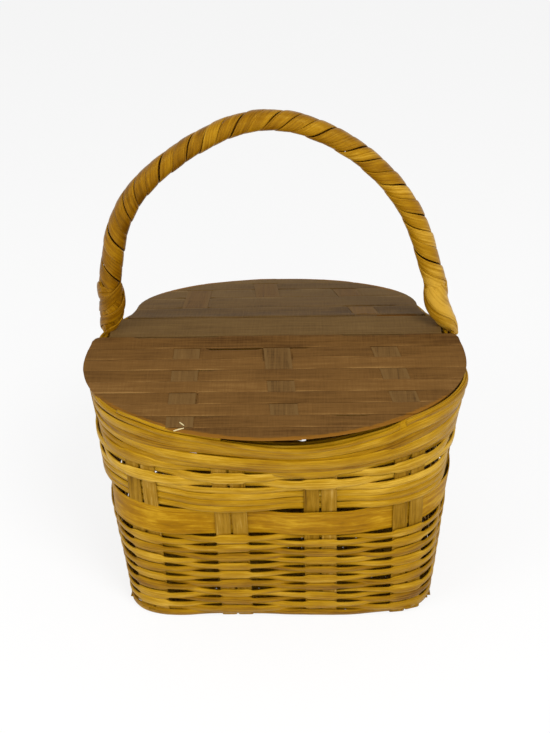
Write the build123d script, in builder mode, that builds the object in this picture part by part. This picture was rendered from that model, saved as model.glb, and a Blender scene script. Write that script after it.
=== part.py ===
# Oval picnic basket of woven cane: a basket body with a wrapped bow handle, a fixed bar across
# the top between the handle's feet, and two woven veneer flaps hinged on cane rods at the bar.
# Frame: origin on the ground under the middle of the basket, +Z up, the front faces -Y.
import math
import os

from build123d import *

# Body plan at the base: a rounded rectangle, written as a superellipse
base_half_width = 131.0
base_half_depth = 101.0
base_squareness = 7.0

# Body plan at the rim: an oval with its blunt end to the front
rim_half_width = 148.5
rim_widest_y = -43.0
rim_front_y = -119.0
rim_back_y = 121.0
rim_front_squareness = 2.5
rim_back_squareness = 2.0

# Heights: the rim rises to the handle and falls to the front and back, like a low roof
ground_strip = 1.6
rim_ridge_z = 227.2
roof_slope = 0.205
bar_seat_z = 224.5

# Weave: paired stakes, rows of reeds in plain weave, one reed band and one wide splint
stake_count = 12
stake_width = 23.0
stake_gap = 3.0
inner_offset = -2.5
under_offset = -0.3
stake_offset = 1.8
mid_offset = 2.3
over_offset = 3.6
plain_offset = 1.0
low_rows = 18
low_rows_top = 0.455
splint_top = 0.594
band_top = 0.718
high_rows = 3
high_rows_top = 0.833
gap_inset = 0.4
gap_reach = 6.0
gap_rows = (4, 7, 10, 13, 16, 18, 19, 20, 22)
first_over = 1
inner_sides = 24
outer_sides = 48
floor_thickness = 5.0
floor_inset = 3.0
floor_stakes_x = (-96.0, -33.0, 33.0, 96.0)
floor_stakes_y = (-34.0, 34.0)
floor_splint = 11.0
floor_splint_pitch = 12.4

# Rim: three reeds laid round the outside, one half-round reed inside
rim_reeds = 3
rim_reed_offset = 4.2
rim_groove_offset = 2.6
rim_groove_share = 0.12
inner_rim_thickness = 5.0
inner_rim_bottom = 0.94

# Handle bow, in the plane y = 0: arcs of radius and angle from the crown down each side
crown_z = 407.3
bow_arcs = {-1: ((87.4, 23.6), (220.6, 17.6), (110.4, 37.0)), 1: ((83.5, 21.9), (152.5, 51.6))}
foot_end_z = 227.5
core_radius = 4.6
wrap_bore = 4.65
wrap_radius = 8.1
leg_growth = 1.1
wrap_groove = 0.8
wrap_groove_share = 0.16
turn_length = 13.0
tongue_thickness = 2.6
tongue_width = 7.6
tongue_top = (142.2, 228.0)
tongue_end = (141.2, 160.0)
lashing_radii = (5.0, 7.4, 9.8, 9.9, 9.6)
lashing_start = 0.42
wrap_end = 0.415

# Bar and hinges
hinge_y = 17.0
hinge_z = 226.6
edge_clearance = 2.6
bar_half_length = 136.8
bar_top_z = 228.0
bar_edge_round = 0.6
rod_radius = 0.95
rod_half_length = 124.0
loop_radius = 2.1
loop_width = 20.0
tang_seat = 1.0
bar_loop_bore = 1.0
flap_loop_bore = 1.03
bar_loops_x = (-108.0, -35.0, 40.0, 112.0)

# Flaps: veneer splints from side to side, crossed by three splints that run front to back
flap_thickness = 2.4
flap_reach = 129.5
front_back_half = 149.0
front_half_width = 154.0
front_widest_y = 45.0
rear_back_half = 127.0
rear_half_width = 121.5
rear_widest_y = 47.0
flap_corner = 5.0
front_splint_pitch = 12.6
rear_splint_pitch = 25.0
splint_groove = 0.9
groove_depth = 0.6
cross_x = (-71.0, -1.0, 82.0)
cross_fan = (0.0, -0.10, -0.235)
cross_width = 22.0
cross_rise = 0.6

# Working sizes
seat_cut = 20.0
seat_align = (Align.CENTER, Align.CENTER, Align.MIN)
roof_half_depth = 200.0
slab_half_width = 220.0
plan_samples = 720


def signed_power(value, power):
    return math.copysign(abs(value) ** power, value)


def plan_point(angle, level):
    """Point of the wall's middle line at a share of the height, 0 at the base and 1 at the rim."""
    c = math.cos(angle)
    s = math.sin(angle)
    base_x = base_half_width * signed_power(c, 2 / base_squareness)
    base_y = base_half_depth * signed_power(s, 2 / base_squareness)
    squareness = rim_back_squareness if s > 0 else rim_front_squareness
    reach = rim_back_y - rim_widest_y if s > 0 else rim_widest_y - rim_front_y
    rim_x = rim_half_width * signed_power(c, 2 / squareness)
    rim_y = rim_widest_y + reach * signed_power(s, 2 / squareness)
    return (base_x + level * (rim_x - base_x), base_y + level * (rim_y - base_y))


def plan_line(level):
    """The wall's middle line as points with the length run so far, from the middle of the front."""
    points = []
    run = 0.0
    for step in range(plan_samples + 1):
        angle = -math.pi / 2 + 2 * math.pi * step / plan_samples
        x, y = plan_point(angle, level)
        if points:
            run += math.hypot(x - points[-1][0], y - points[-1][1])
        points.append((x, y, run))
    return points


def along(line, run, offset):
    """Point at a run along the line, moved outwards by an offset."""
    length = line[-1][2]
    run = run % length
    index = 1
    while line[index][2] < run:
        index += 1
    x0, y0, r0 = line[index - 1]
    x1, y1, r1 = line[index]
    share = (run - r0) / (r1 - r0)
    dx = (x1 - x0) / (r1 - r0)
    dy = (y1 - y0) / (r1 - r0)
    return (x0 + share * (x1 - x0) + offset * dy, y0 + share * (y1 - y0) - offset * dx)


def smooth_outline(level, offset, count):
    line = plan_line(level)
    pitch = line[-1][2] / count
    return [along(line, (step + 0.5) * pitch, offset) for step in range(count)]


def woven_outline(level, phase):
    """Outline of one row: out over every other stake, and in behind the stakes between."""
    line = plan_line(level)
    pitch = line[-1][2] / stake_count
    half = stake_width / 2
    points = []
    for stake in range(stake_count):
        centre = (stake + 0.5) * pitch
        if (stake + phase) % 2:
            spots = ((-half, over_offset), (half, over_offset))
        else:
            dip = half + stake_gap
            spots = ((-dip, under_offset), (-half, stake_offset), (half, stake_offset), (dip, under_offset))
        points += [along(line, centre + run, offset) for run, offset in spots]
        points.append(along(line, centre + pitch / 2, mid_offset))
    return points


def gap_outlines(level, phase):
    """Narrow quadrilaterals through the wall, one on each side of a stake that shows in this row."""
    line = plan_line(level)
    pitch = line[-1][2] / stake_count
    half = stake_width / 2
    outlines = []
    for stake in range(stake_count):
        if (stake + phase) % 2:
            continue
        centre = (stake + 0.5) * pitch
        near = half + gap_inset
        far = half + stake_gap - gap_inset
        for side in (-1, 1):
            corners = ((near, -gap_reach), (far, -gap_reach), (far, gap_reach), (near, gap_reach))
            outlines.append([along(line, centre + side * run, offset) for run, offset in corners])
    return outlines


def roof_z(share, y):
    """Height of a row's edge: level at the base, roofed like the rim at the top."""
    return ground_strip + share * (rim_ridge_z - ground_strip - roof_slope * abs(y))


def roof_slab(low, high):
    """The space between two row edges."""
    far = roof_half_depth
    outline = [(-far, roof_z(low, far)), (0, roof_z(low, 0)), (far, roof_z(low, far))]
    outline += [(far, roof_z(high, far)), (0, roof_z(high, 0)), (-far, roof_z(high, far))]
    with BuildPart() as slab:
        with BuildSketch(Plane.YZ):
            with BuildLine():
                Polyline(*outline, close=True)
            make_face()
        extrude(amount=slab_half_width, both=True)
    return slab.part


def ring(outside, inside, low, high, gaps=()):
    """A ring between two outlines, cut to the row between two edges."""
    slab = roof_slab(low, high)
    with BuildPart() as row:
        with BuildSketch():
            with BuildLine():
                Polyline(*outside, close=True)
            make_face()
            with BuildLine():
                Polyline(*inside, close=True)
            make_face(mode=Mode.SUBTRACT)
            for gap in gaps:
                with BuildLine():
                    Polyline(*gap, close=True)
                make_face(mode=Mode.SUBTRACT)
        extrude(amount=rim_ridge_z)
        add(slab, mode=Mode.INTERSECT)
    return row.part


def row_edges():
    """Bottom and top share of each woven row, from the base up."""
    shares = [low_rows_top * step / low_rows for step in range(low_rows + 1)]
    shares += [splint_top, band_top]
    high = high_rows_top - band_top
    shares += [band_top + high * (step + 1) / high_rows for step in range(high_rows)]
    return list(zip(shares[:-1], shares[1:]))


def flap_plane(side):
    """Plane of a flap at its hinge line: side -1 is the front flap, 1 the rear one."""
    fall = math.atan(roof_slope)
    normal = (0, side * math.sin(fall), math.cos(fall))
    return Plane(origin=(0, side * hinge_y, hinge_z), x_dir=(1, 0, 0), z_dir=normal)


def hinge_loops(places, side, bore, reach):
    """Splint ends folded round a hinge rod, each with a tang that reaches its own panel."""
    with BuildPart() as loops:
        for x in places:
            with Locations((x, side * hinge_y, hinge_z)):
                Cylinder(loop_radius, loop_width, rotation=(0, 90, 0))
                with Locations((0, reach / 2, 0)):
                    Box(loop_width, abs(reach), 2 * bore)
        for x in places:
            with Locations((x, side * hinge_y, hinge_z)):
                Cylinder(bore, 2 * loop_width, rotation=(0, 90, 0), mode=Mode.SUBTRACT)
    return loops.part


def bow_point(side, arc, share):
    """Point and heading, in degrees below level, at a share of one arc of the bow's half."""
    x = 0.0
    z = crown_z
    heading = 0.0
    for number, (radius, angle) in enumerate(bow_arcs[side][: arc + 1]):
        turned = heading + angle * (share if number == arc else 1)
        x += radius * (math.sin(math.radians(turned)) - math.sin(math.radians(heading)))
        z -= radius * (math.cos(math.radians(heading)) - math.cos(math.radians(turned)))
        heading = turned
    return x, z, heading


def bow_stretch(side, arc, low, high, outside, inside):
    """A stretch of tube, or of rod where inside is 0, along one arc of the bow."""
    x, z, heading = bow_point(side, arc, low)
    radius, angle = bow_arcs[side][arc]
    tangent = (side * math.cos(math.radians(heading)), -math.sin(math.radians(heading)))
    section = Plane(origin=(side * x, 0, z), z_dir=(tangent[0], 0, tangent[1]))
    with BuildPart() as stretch:
        with BuildLine(Plane.XZ) as path:
            JernArc((side * x, z), tangent, radius, -side * angle * (high - low))
        with BuildSketch(section):
            Circle(outside)
            if inside:
                Circle(inside, mode=Mode.SUBTRACT)
        sweep(path=path.line)
    return stretch.part


def knee(side):
    """End of a half's last arc, where the straight foot begins."""
    return bow_point(side, len(bow_arcs[side]) - 1, 1)


def foot_length(side):
    x, z, heading = knee(side)
    return (z - foot_end_z) / math.sin(math.radians(heading))


def foot_plane(side, share):
    """Plane across the handle's foot, from its knee, 0, down to the rim, 1."""
    x, z, heading = knee(side)
    down = (math.cos(math.radians(heading)), -math.sin(math.radians(heading)))
    run = share * foot_length(side)
    origin = (side * (x + run * down[0]), 0, z + run * down[1])
    return Plane(origin=origin, z_dir=(side * down[0], 0, down[1]))


def foot_stretch(side, low, high, outside, inside):
    """A stretch of tube along the straight foot."""
    with BuildPart() as stretch:
        with BuildSketch(foot_plane(side, low)):
            Circle(outside)
            Circle(inside, mode=Mode.SUBTRACT)
        extrude(amount=(high - low) * foot_length(side))
    return stretch.part


def wrap_turns(length):
    return max(1, round(length / turn_length))


def flap_outline(side, back_half, half_width, widest_y):
    """Outline of a flap in its own plane: straight at the hinge, half an ellipse at the edge."""
    fall = math.cos(math.atan(roof_slope))
    widest = side * (widest_y - hinge_y) / fall
    reach = (flap_reach - widest_y) / fall
    back = side * edge_clearance
    with BuildSketch(flap_plane(side)) as outline:
        with BuildLine():
            Polyline((-half_width, widest), (-back_half, back), (back_half, back), (half_width, widest))
            EllipticalCenterArc((0, widest), half_width, reach, start_angle=0, arc_size=side * 180)
        make_face()
        fillet(outline.vertices().filter_by(lambda v: abs(abs(v.X) - back_half) < 0.01), flap_corner)
    return outline.sketch


def cross_splint_x(column, y):
    return cross_x[column] + cross_fan[column] * y


def flap_rows(pitch):
    """Distance from the hinge line to the middle of each splint row."""
    fall = math.cos(math.atan(roof_slope))
    reach = (flap_reach - hinge_y) / fall
    count = int((reach - edge_clearance) / pitch)
    return [edge_clearance + pitch * (row + 0.5) for row in range(count)]


def woven_flap(side, back_half, half_width, widest_y, pitch):
    """A flap: splints side by side, crossed by splints that show on the top in every other row."""
    plane = flap_plane(side)
    outline = flap_outline(side, back_half, half_width, widest_y)
    half = flap_thickness / 2
    level = half + cross_rise / 2
    places = [cross_splint_x(column, side * hinge_y) for column in range(len(cross_x))]
    tang = side * (edge_clearance + tang_seat)
    loops = hinge_loops(places, side, flap_loop_bore, tang)
    with BuildPart() as flap:
        extrude(outline, amount=half, both=True)
        with Locations(plane):
            for distance in flap_rows(pitch):
                seam = side * (distance + pitch / 2)
                with Locations((0, seam, half), (0, seam, -half)):
                    Box(3 * half_width, splint_groove, 2 * groove_depth, mode=Mode.SUBTRACT)
            for row, distance in enumerate(flap_rows(pitch)):
                for column in range(len(cross_x)):
                    x = cross_splint_x(column, side * (hinge_y + distance))
                    up = level if (row + column) % 2 else -level
                    with Locations((x, side * distance, up)):
                        Box(cross_width, pitch - splint_groove, cross_rise)
        extrude(outline, amount=flap_thickness, both=True, mode=Mode.INTERSECT)
        add(loops)
    return flap.part


os.makedirs("parts", exist_ok=True)

# Woven body: stakes and rows in one weave
rows = []
for number, (low, high) in enumerate(row_edges()):
    level = (low + high) / 2
    phase = number + first_over
    gaps = gap_outlines(level, phase) if number in gap_rows else ()
    inside = smooth_outline(level, inner_offset, inner_sides)
    rows.append(ring(woven_outline(level, phase), inside, low, high, gaps))
collar_level = (high_rows_top + 1) / 2
collar_inside = smooth_outline(collar_level, inner_offset, inner_sides)
collar_outside = smooth_outline(collar_level, plain_offset, outer_sides)
rows.append(ring(collar_outside, collar_inside, high_rows_top, 1.0))

with BuildPart() as woven_body:
    add(rows)
    with Locations((0, 0, bar_seat_z)):
        Box(2 * slab_half_width, 2 * hinge_y, seat_cut, align=seat_align, mode=Mode.SUBTRACT)
woven_body.part.label = "woven_body"
export_step(woven_body.part, "parts/woven_body.step")

# Floor mat inside the foot of the wall, on the splints that turn up into the stakes
floor_low, floor_high = row_edges()[0]
with BuildPart() as floor_mat:
    with BuildSketch(Plane.XY.offset(ground_strip)):
        with BuildLine():
            Polyline(*smooth_outline((floor_low + floor_high) / 2, inner_offset, inner_sides), close=True)
        make_face()
    extrude(amount=floor_thickness)
    for x in floor_stakes_x:
        for shift in (-floor_splint_pitch / 2, floor_splint_pitch / 2):
            with Locations((x + shift, 0, ground_strip / 2)):
                Box(floor_splint, 2 * (base_half_depth - floor_inset), ground_strip)
    for y in floor_stakes_y:
        for shift in (-floor_splint_pitch / 2, floor_splint_pitch / 2):
            with Locations((0, y + shift, ground_strip / 2)):
                Box(2 * (base_half_width - floor_inset), floor_splint, ground_strip)
floor_mat.part.label = "floor_mat"
export_step(floor_mat.part, "parts/floor_mat.step")

# Rim reeds outside the collar
reed_share = (1 - high_rows_top) / rim_reeds
groove = rim_groove_share * reed_share
reed_outside = smooth_outline(collar_level, rim_reed_offset, outer_sides)
groove_outside = smooth_outline(collar_level, rim_groove_offset, outer_sides)
reeds = []
for reed in range(rim_reeds):
    low = high_rows_top + reed * reed_share
    reeds.append(ring(reed_outside, collar_outside, low, low + reed_share - groove))
    if reed < rim_reeds - 1:
        reeds.append(ring(groove_outside, collar_outside, low + reed_share - groove, low + reed_share))

with BuildPart() as outer_rim:
    add(reeds)
    with Locations((0, 0, bar_seat_z)):
        Box(2 * slab_half_width, 2 * hinge_y, seat_cut, align=seat_align, mode=Mode.SUBTRACT)
outer_rim.part.label = "outer_rim"
export_step(outer_rim.part, "parts/outer_rim.step")

# Rim reed inside the collar
with BuildPart() as inner_rim:
    inside = smooth_outline(collar_level, inner_offset - inner_rim_thickness, inner_sides)
    add(ring(collar_inside, inside, inner_rim_bottom, 1.0))
    with Locations((0, 0, bar_seat_z)):
        Box(2 * slab_half_width, 2 * hinge_y, seat_cut, align=seat_align, mode=Mode.SUBTRACT)
inner_rim.part.label = "inner_rim"
export_step(inner_rim.part, "parts/inner_rim.step")

# Handle core: a bent cane with flattened tongues pushed down into the weave
with BuildPart() as handle_core:
    for side in (-1, 1):
        for arc in range(len(bow_arcs[side])):
            add(bow_stretch(side, arc, 0, 1, core_radius, 0))
        with BuildSketch(foot_plane(side, 0)):
            Circle(core_radius)
        extrude(amount=foot_length(side))
        drop = (side * (tongue_end[0] - tongue_top[0]), 0, tongue_end[1] - tongue_top[1])
        tongue = Plane(origin=(side * tongue_top[0], 0, tongue_top[1]), x_dir=(0, 1, 0), z_dir=drop)
        with BuildSketch(tongue):
            Rectangle(tongue_width, tongue_thickness)
        extrude(amount=tongue_top[1] - tongue_end[1])
handle_core.part.label = "handle_core"
export_step(handle_core.part, "parts/handle_core.step")

# Handle wrap: turns of split cane from one lashing to the other, thicker towards the feet
with BuildPart() as handle_wrap:
    for side in (-1, 1):
        for arc, (radius, angle) in enumerate(bow_arcs[side]):
            turns = wrap_turns(radius * math.radians(angle))
            for turn in range(turns):
                fall = crown_z - bow_point(side, arc, turn / turns)[1]
                outside = wrap_radius + leg_growth * fall / (crown_z - knee(side)[1])
                edge = (turn + 1 - wrap_groove_share) / turns
                add(bow_stretch(side, arc, turn / turns, edge, outside, wrap_bore))
                add(bow_stretch(side, arc, edge, (turn + 1) / turns, outside - wrap_groove, wrap_bore))
        turns = wrap_turns(wrap_end * foot_length(side))
        outside = wrap_radius + leg_growth
        for turn in range(turns):
            low = wrap_end * turn / turns
            edge = wrap_end * (turn + 1 - wrap_groove_share) / turns
            high = wrap_end * (turn + 1) / turns
            add(foot_stretch(side, low, edge, outside, wrap_bore))
            add(foot_stretch(side, edge, high, outside - wrap_groove, wrap_bore))
handle_wrap.part.label = "handle_wrap"
export_step(handle_wrap.part, "parts/handle_wrap.step")


def foot_lashing(side):
    """Split cane crossed round the handle's foot, drawn in to a point at the rim."""
    turns = len(lashing_radii) - 1
    reach = (1 - lashing_start) / turns
    with BuildPart() as lashing:
        for turn in range(turns):
            with BuildSketch(foot_plane(side, 1 - (turn + 1) * reach)):
                Circle(lashing_radii[turn + 1])
            with BuildSketch(foot_plane(side, 1 - turn * reach)):
                Circle(lashing_radii[turn])
            loft()
        with BuildSketch(foot_plane(side, 0)):
            Circle(wrap_bore)
        extrude(amount=foot_length(side), mode=Mode.SUBTRACT)
    return lashing.part


left_lashing = foot_lashing(-1)
left_lashing.label = "left_foot_lashing"
export_step(left_lashing, "parts/left_foot_lashing.step")

right_lashing = foot_lashing(1)
right_lashing.label = "right_foot_lashing"
export_step(right_lashing, "parts/right_foot_lashing.step")

# Bar across the top, with loops for both hinge rods
with BuildPart() as centre_bar:
    with Locations((0, 0, (bar_seat_z + bar_top_z) / 2)):
        Box(2 * bar_half_length, 2 * (hinge_y - edge_clearance), bar_top_z - bar_seat_z)
    fillet(centre_bar.edges().filter_by(Axis.X).group_by(Axis.Z)[-1], bar_edge_round)
    for side in (-1, 1):
        add(hinge_loops(bar_loops_x, side, bar_loop_bore, -side * (edge_clearance + tang_seat)))
centre_bar.part.label = "centre_bar"
export_step(centre_bar.part, "parts/centre_bar.step")

# Hinge rods
for name, side in (("front_hinge_rod", -1), ("rear_hinge_rod", 1)):
    with BuildPart() as hinge_rod:
        with Locations((0, side * hinge_y, hinge_z)):
            Cylinder(rod_radius, 2 * rod_half_length, rotation=(0, 90, 0))
    hinge_rod.part.label = name
    export_step(hinge_rod.part, f"parts/{name}.step")

# Flaps
front_flap = woven_flap(-1, front_back_half, front_half_width, front_widest_y, front_splint_pitch)
front_flap.label = "front_flap"
export_step(front_flap, "parts/front_flap.step")

rear_flap = woven_flap(1, rear_back_half, rear_half_width, rear_widest_y, rear_splint_pitch)
rear_flap.label = "rear_flap"
export_step(rear_flap, "parts/rear_flap.step")
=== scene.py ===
# %% [markdown]
# # A woven cane picnic basket
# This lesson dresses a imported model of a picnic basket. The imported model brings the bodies, the
# hinges and the true sizes, and every piece made here rides on one of its bodies. Lengths are
# worked out in millimetres, as a basket maker would say them, and turned into metres at the end.

import math

import bpy
import numpy as np
from mathutils import Matrix, Vector


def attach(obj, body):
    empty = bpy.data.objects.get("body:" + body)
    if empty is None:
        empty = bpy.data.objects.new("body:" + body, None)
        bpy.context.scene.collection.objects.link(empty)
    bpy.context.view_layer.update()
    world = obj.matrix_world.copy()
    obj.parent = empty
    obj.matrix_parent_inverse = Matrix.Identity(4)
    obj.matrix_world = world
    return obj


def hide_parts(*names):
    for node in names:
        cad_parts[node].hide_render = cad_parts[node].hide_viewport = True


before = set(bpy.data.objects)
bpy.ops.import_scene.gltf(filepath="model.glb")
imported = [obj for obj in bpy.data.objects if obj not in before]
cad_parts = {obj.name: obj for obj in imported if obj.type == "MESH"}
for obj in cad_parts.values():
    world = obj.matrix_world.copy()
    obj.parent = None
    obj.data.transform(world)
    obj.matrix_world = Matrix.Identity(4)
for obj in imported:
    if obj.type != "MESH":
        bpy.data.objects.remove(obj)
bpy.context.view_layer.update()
MM = 0.001

# %% [markdown]
# ## The wall as a surface
# The wall is a tube between two plans: a rounded rectangle at the base and an egg-shaped oval at
# the rim. A basket maker sets the base first and lets the stakes spread to the rim. Here every
# point of the wall has two numbers: its share of the height, and its share of the way round from
# the middle of the front. All the weaving is then written in those two numbers.

# %% The wall's plan at each level
BASE_HALF_WIDTH = 131.0
BASE_HALF_DEPTH = 101.0
BASE_SQUARENESS = 7.0
RIM_HALF_WIDTH = 148.5
RIM_WIDEST_Y = -43.0
RIM_FRONT_Y = -119.0
RIM_BACK_Y = 121.0
RIM_FRONT_SQUARENESS = 2.5
RIM_BACK_SQUARENESS = 2.0
LEVEL_STEPS = 40
RUN_STEPS = 1440


def signed_power(value, power):
    return np.sign(value) * np.abs(value) ** power


def plan_at(level):
    """The wall's middle line at one level, at even steps of the way round."""
    angle = np.linspace(-np.pi / 2, 3 * np.pi / 2, 2 * RUN_STEPS + 1)
    c = np.cos(angle)
    s = np.sin(angle)
    base_x = BASE_HALF_WIDTH * signed_power(c, 2 / BASE_SQUARENESS)
    base_y = BASE_HALF_DEPTH * signed_power(s, 2 / BASE_SQUARENESS)
    squareness = np.where(s > 0, RIM_BACK_SQUARENESS, RIM_FRONT_SQUARENESS)
    reach = np.where(s > 0, RIM_BACK_Y - RIM_WIDEST_Y, RIM_WIDEST_Y - RIM_FRONT_Y)
    rim_x = RIM_HALF_WIDTH * signed_power(c, 2 / squareness)
    rim_y = RIM_WIDEST_Y + reach * signed_power(s, 2 / squareness)
    x = base_x + level * (rim_x - base_x)
    y = base_y + level * (rim_y - base_y)
    run = np.concatenate([[0.0], np.cumsum(np.hypot(np.diff(x), np.diff(y)))])
    even = np.linspace(0, run[-1], RUN_STEPS + 1)
    return np.interp(even, run, x), np.interp(even, run, y), run[-1]


plans = [plan_at(step / LEVEL_STEPS) for step in range(LEVEL_STEPS + 1)]
PLAN_X = np.array([plan[0] for plan in plans])
PLAN_Y = np.array([plan[1] for plan in plans])
ROUND = np.array([plan[2] for plan in plans])
print(f"way round: {ROUND[0]:.0f} mm at the base, {ROUND[-1]:.0f} mm at the rim")

# %% Points and directions on the wall
GROUND_STRIP = 1.6
RIM_RIDGE_Z = 227.2
ROOF_SLOPE = 0.205
RIDGE_ROUND = 14.0
FRONT_SAG = 12.5
SAG_X = 18.0
SAG_HALF_WIDTH = 66.0
SAG_FROM = 0.72


def unit(vectors):
    return vectors / np.linalg.norm(vectors, axis=-1, keepdims=True)


def wall_point(share, run):
    """Point of the wall's middle surface, in millimetres."""
    share, run = np.broadcast_arrays(np.asarray(share, float), np.asarray(run, float))
    row = np.clip(np.floor(share * LEVEL_STEPS).astype(int), 0, LEVEL_STEPS - 1)
    up = share * LEVEL_STEPS - row
    place = (run % 1.0) * RUN_STEPS
    column = np.minimum(place.astype(int), RUN_STEPS - 1)
    on = place - column
    xy = []
    for table in (PLAN_X, PLAN_Y):
        low = table[row, column] * (1 - on) + table[row, column + 1] * on
        high = table[row + 1, column] * (1 - on) + table[row + 1, column + 1] * on
        xy.append(low * (1 - up) + high * up)
    x, y = xy
    depth = np.sqrt(y * y + RIDGE_ROUND**2) - RIDGE_ROUND
    z = GROUND_STRIP + share * (RIM_RIDGE_Z - GROUND_STRIP - ROOF_SLOPE * depth)
    high = np.clip((share - SAG_FROM) / (1 - SAG_FROM), 0, 1.2)
    sag = FRONT_SAG * np.exp(-(((x - SAG_X) / SAG_HALF_WIDTH) ** 2)) * (y < 0) * high
    return np.stack([x, y, z - sag], -1)


def wall_frame(share, run):
    """Point, direction along the row, direction up the wall and outward normal."""
    here = wall_point(share, run)
    along = unit(wall_point(share, run + 0.0012) - wall_point(share, run - 0.0012))
    up = wall_point(share + 0.005, run) - wall_point(share - 0.005, run)
    normal = unit(np.cross(along, up))
    return here, along, np.cross(normal, along), normal


print("front middle of the rim:", wall_point(1.0, 0.0).round(1))

# %% [markdown]
# ## Strips
# Almost everything on this basket is a strip: a reed, a splint or a length of split cane. A curve
# object with a bevel could draw them, but its section cannot swell and flatten where a reed goes
# over a stake. So one helper sweeps a section along a line, with its own width and thickness at
# each step. It also keeps the length run so far as a texture coordinate, so that fibres can follow
# the strip, and a tone, so that no two strips have quite the same colour.

# %% Sections and the strip helper


def section(points, squareness):
    """Points round a strip's section, from an ellipse (2) to nearly a rectangle (8)."""
    angle = 2 * np.pi * (np.arange(points) + 0.5) / points
    across = signed_power(np.cos(angle), 2 / squareness)
    through = signed_power(np.sin(angle), 2 / squareness)
    return across, through


REED = section(10, 2.4)
SPLINT = section(16, 5.0)
ROD = section(10, 2.0)


def new_bundle():
    return {"points": [], "faces": [], "grain": [], "tone": [], "edge": [], "count": 0}


def add_faces(bundle, points, faces, grain, tone, edge):
    """Adds points, faces and, for each corner of each face, a texture coordinate."""
    first = bundle["count"]
    bundle["points"].append(points)
    bundle["faces"] += [[first + corner for corner in face] for face in faces]
    bundle["grain"].append(grain)
    bundle["tone"].append(tone)
    bundle["edge"].append(edge)
    bundle["count"] += len(points)


def lay_strip(
    bundle, centre, side, normal, half_width, half_thick, tone, outline=REED, closed=False, start=0.0, cup=0.0
):
    """Sweeps a section along a line of points, in millimetres. Cup bends the edges inward."""
    steps = len(centre)
    across, through = outline
    sides = len(across)
    half_width = np.broadcast_to(half_width, steps)
    half_thick = np.broadcast_to(half_thick, steps)
    bend = np.broadcast_to(cup, steps)[:, None] * across[None] ** 2
    points = (
        centre[:, None]
        + side[:, None] * (half_width[:, None] * across[None])[..., None]
        + normal[:, None] * (half_thick[:, None] * through[None] - bend)[..., None]
    )
    ring = np.linalg.norm(np.diff(centre, axis=0, append=centre[:1]), axis=1)
    run = start + np.concatenate([[0.0], np.cumsum(ring)])
    around = 4 * float(half_width.max() + half_thick.max()) / sides
    onward = np.roll(centre, -1, 0) - centre
    right_handed = np.sum(np.cross(side, normal)[:-1] * onward[:-1]) > 0
    i, j = np.meshgrid(np.arange(steps if closed else steps - 1), np.arange(sides), indexing="ij")
    corners = [(i, j), (i, j + 1), (i + 1, j + 1), (i + 1, j)]
    if not right_handed:
        corners.reverse()
    faces = np.stack([(a % steps) * sides + b % sides for a, b in corners], -1).reshape(-1, 4)
    grain = np.stack([np.stack([run[a], around * b], -1) for a, b in corners], -2).reshape(-1, 2)
    faces = faces.tolist()
    if not closed:
        loop = np.arange(sides)
        for step, forward in ((0, right_handed), (steps - 1, not right_handed)):
            cap = loop[::-1] if forward else loop
            faces.append((step * sides + cap).tolist())
            at = np.stack([run[step] + half_thick[step] * through[cap], half_width[step] * across[cap]], -1)
            grain = np.concatenate([grain, at])
    flat = points.reshape(-1, 3)
    tones = np.repeat(np.broadcast_to(tone, steps), sides)
    add_faces(bundle, flat, faces, grain, tones, np.zeros(len(flat)))


print("sections:", len(REED[0]), len(SPLINT[0]), len(ROD[0]), "points")

# %% Turning a bundle of strips into a piece
made = []


def make_piece(name, bundle, finish, body="basket", stands_for=()):
    mesh = bpy.data.meshes.new(name)
    points = np.concatenate(bundle["points"]) * MM
    mesh.from_pydata(points.tolist(), [], bundle["faces"])
    layer = mesh.uv_layers.new(name="grain")
    layer.uv.foreach_set("vector", (np.concatenate(bundle["grain"]) * MM).astype(np.float32).ravel())
    for key in ("tone", "edge"):
        attribute = mesh.attributes.new(key, "FLOAT", "POINT")
        attribute.data.foreach_set("value", np.concatenate(bundle[key]).astype(np.float32))
    mesh.shade_smooth()
    mesh.materials.append(finish)
    piece = bpy.data.objects.new(name, mesh)
    bpy.context.scene.collection.objects.link(piece)
    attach(piece, body)
    if stands_for:
        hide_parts(*stands_for)
    made.append(piece)
    triangles = sum(len(face) - 2 for face in bundle["faces"])
    print(f"{name}: {triangles} triangles")
    return piece


def drift(dice, run, size, waves=(1, 2, 3, 5)):
    """A slow wander round the basket that closes on itself."""
    total = np.zeros_like(run)
    for wave in waves:
        total += dice.normal() * np.cos(2 * np.pi * (wave * run + dice.random()))
    return size * total / math.sqrt(len(waves))


# %% [markdown]
# ## Finishes
# All the cane has a golden, varnished skin with fibres along its length. A picture could be laid
# on it, but a procedural material follows each strip's own length for as long as the strip is.
# One helper builds the cane from fibre streaks, slow blotches and the strip's tone. The stakes are
# the inner wood of the cane, paler and dry. The lid is a stained veneer with a matt grain.

# %% Node helpers


def new_finish(name):
    finish = bpy.data.materials.new(name)
    finish.use_nodes = True
    tree = finish.node_tree
    shader = tree.nodes["Principled BSDF"]
    return finish, tree, shader


def seen(red, green, blue):
    """A colour as it looks on a screen, from 0 to 255, as the shader's linear values."""
    values = np.array([red, green, blue]) / 255
    return np.where(values < 0.04045, values / 12.92, ((values + 0.055) / 1.055) ** 2.4).tolist()


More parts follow.
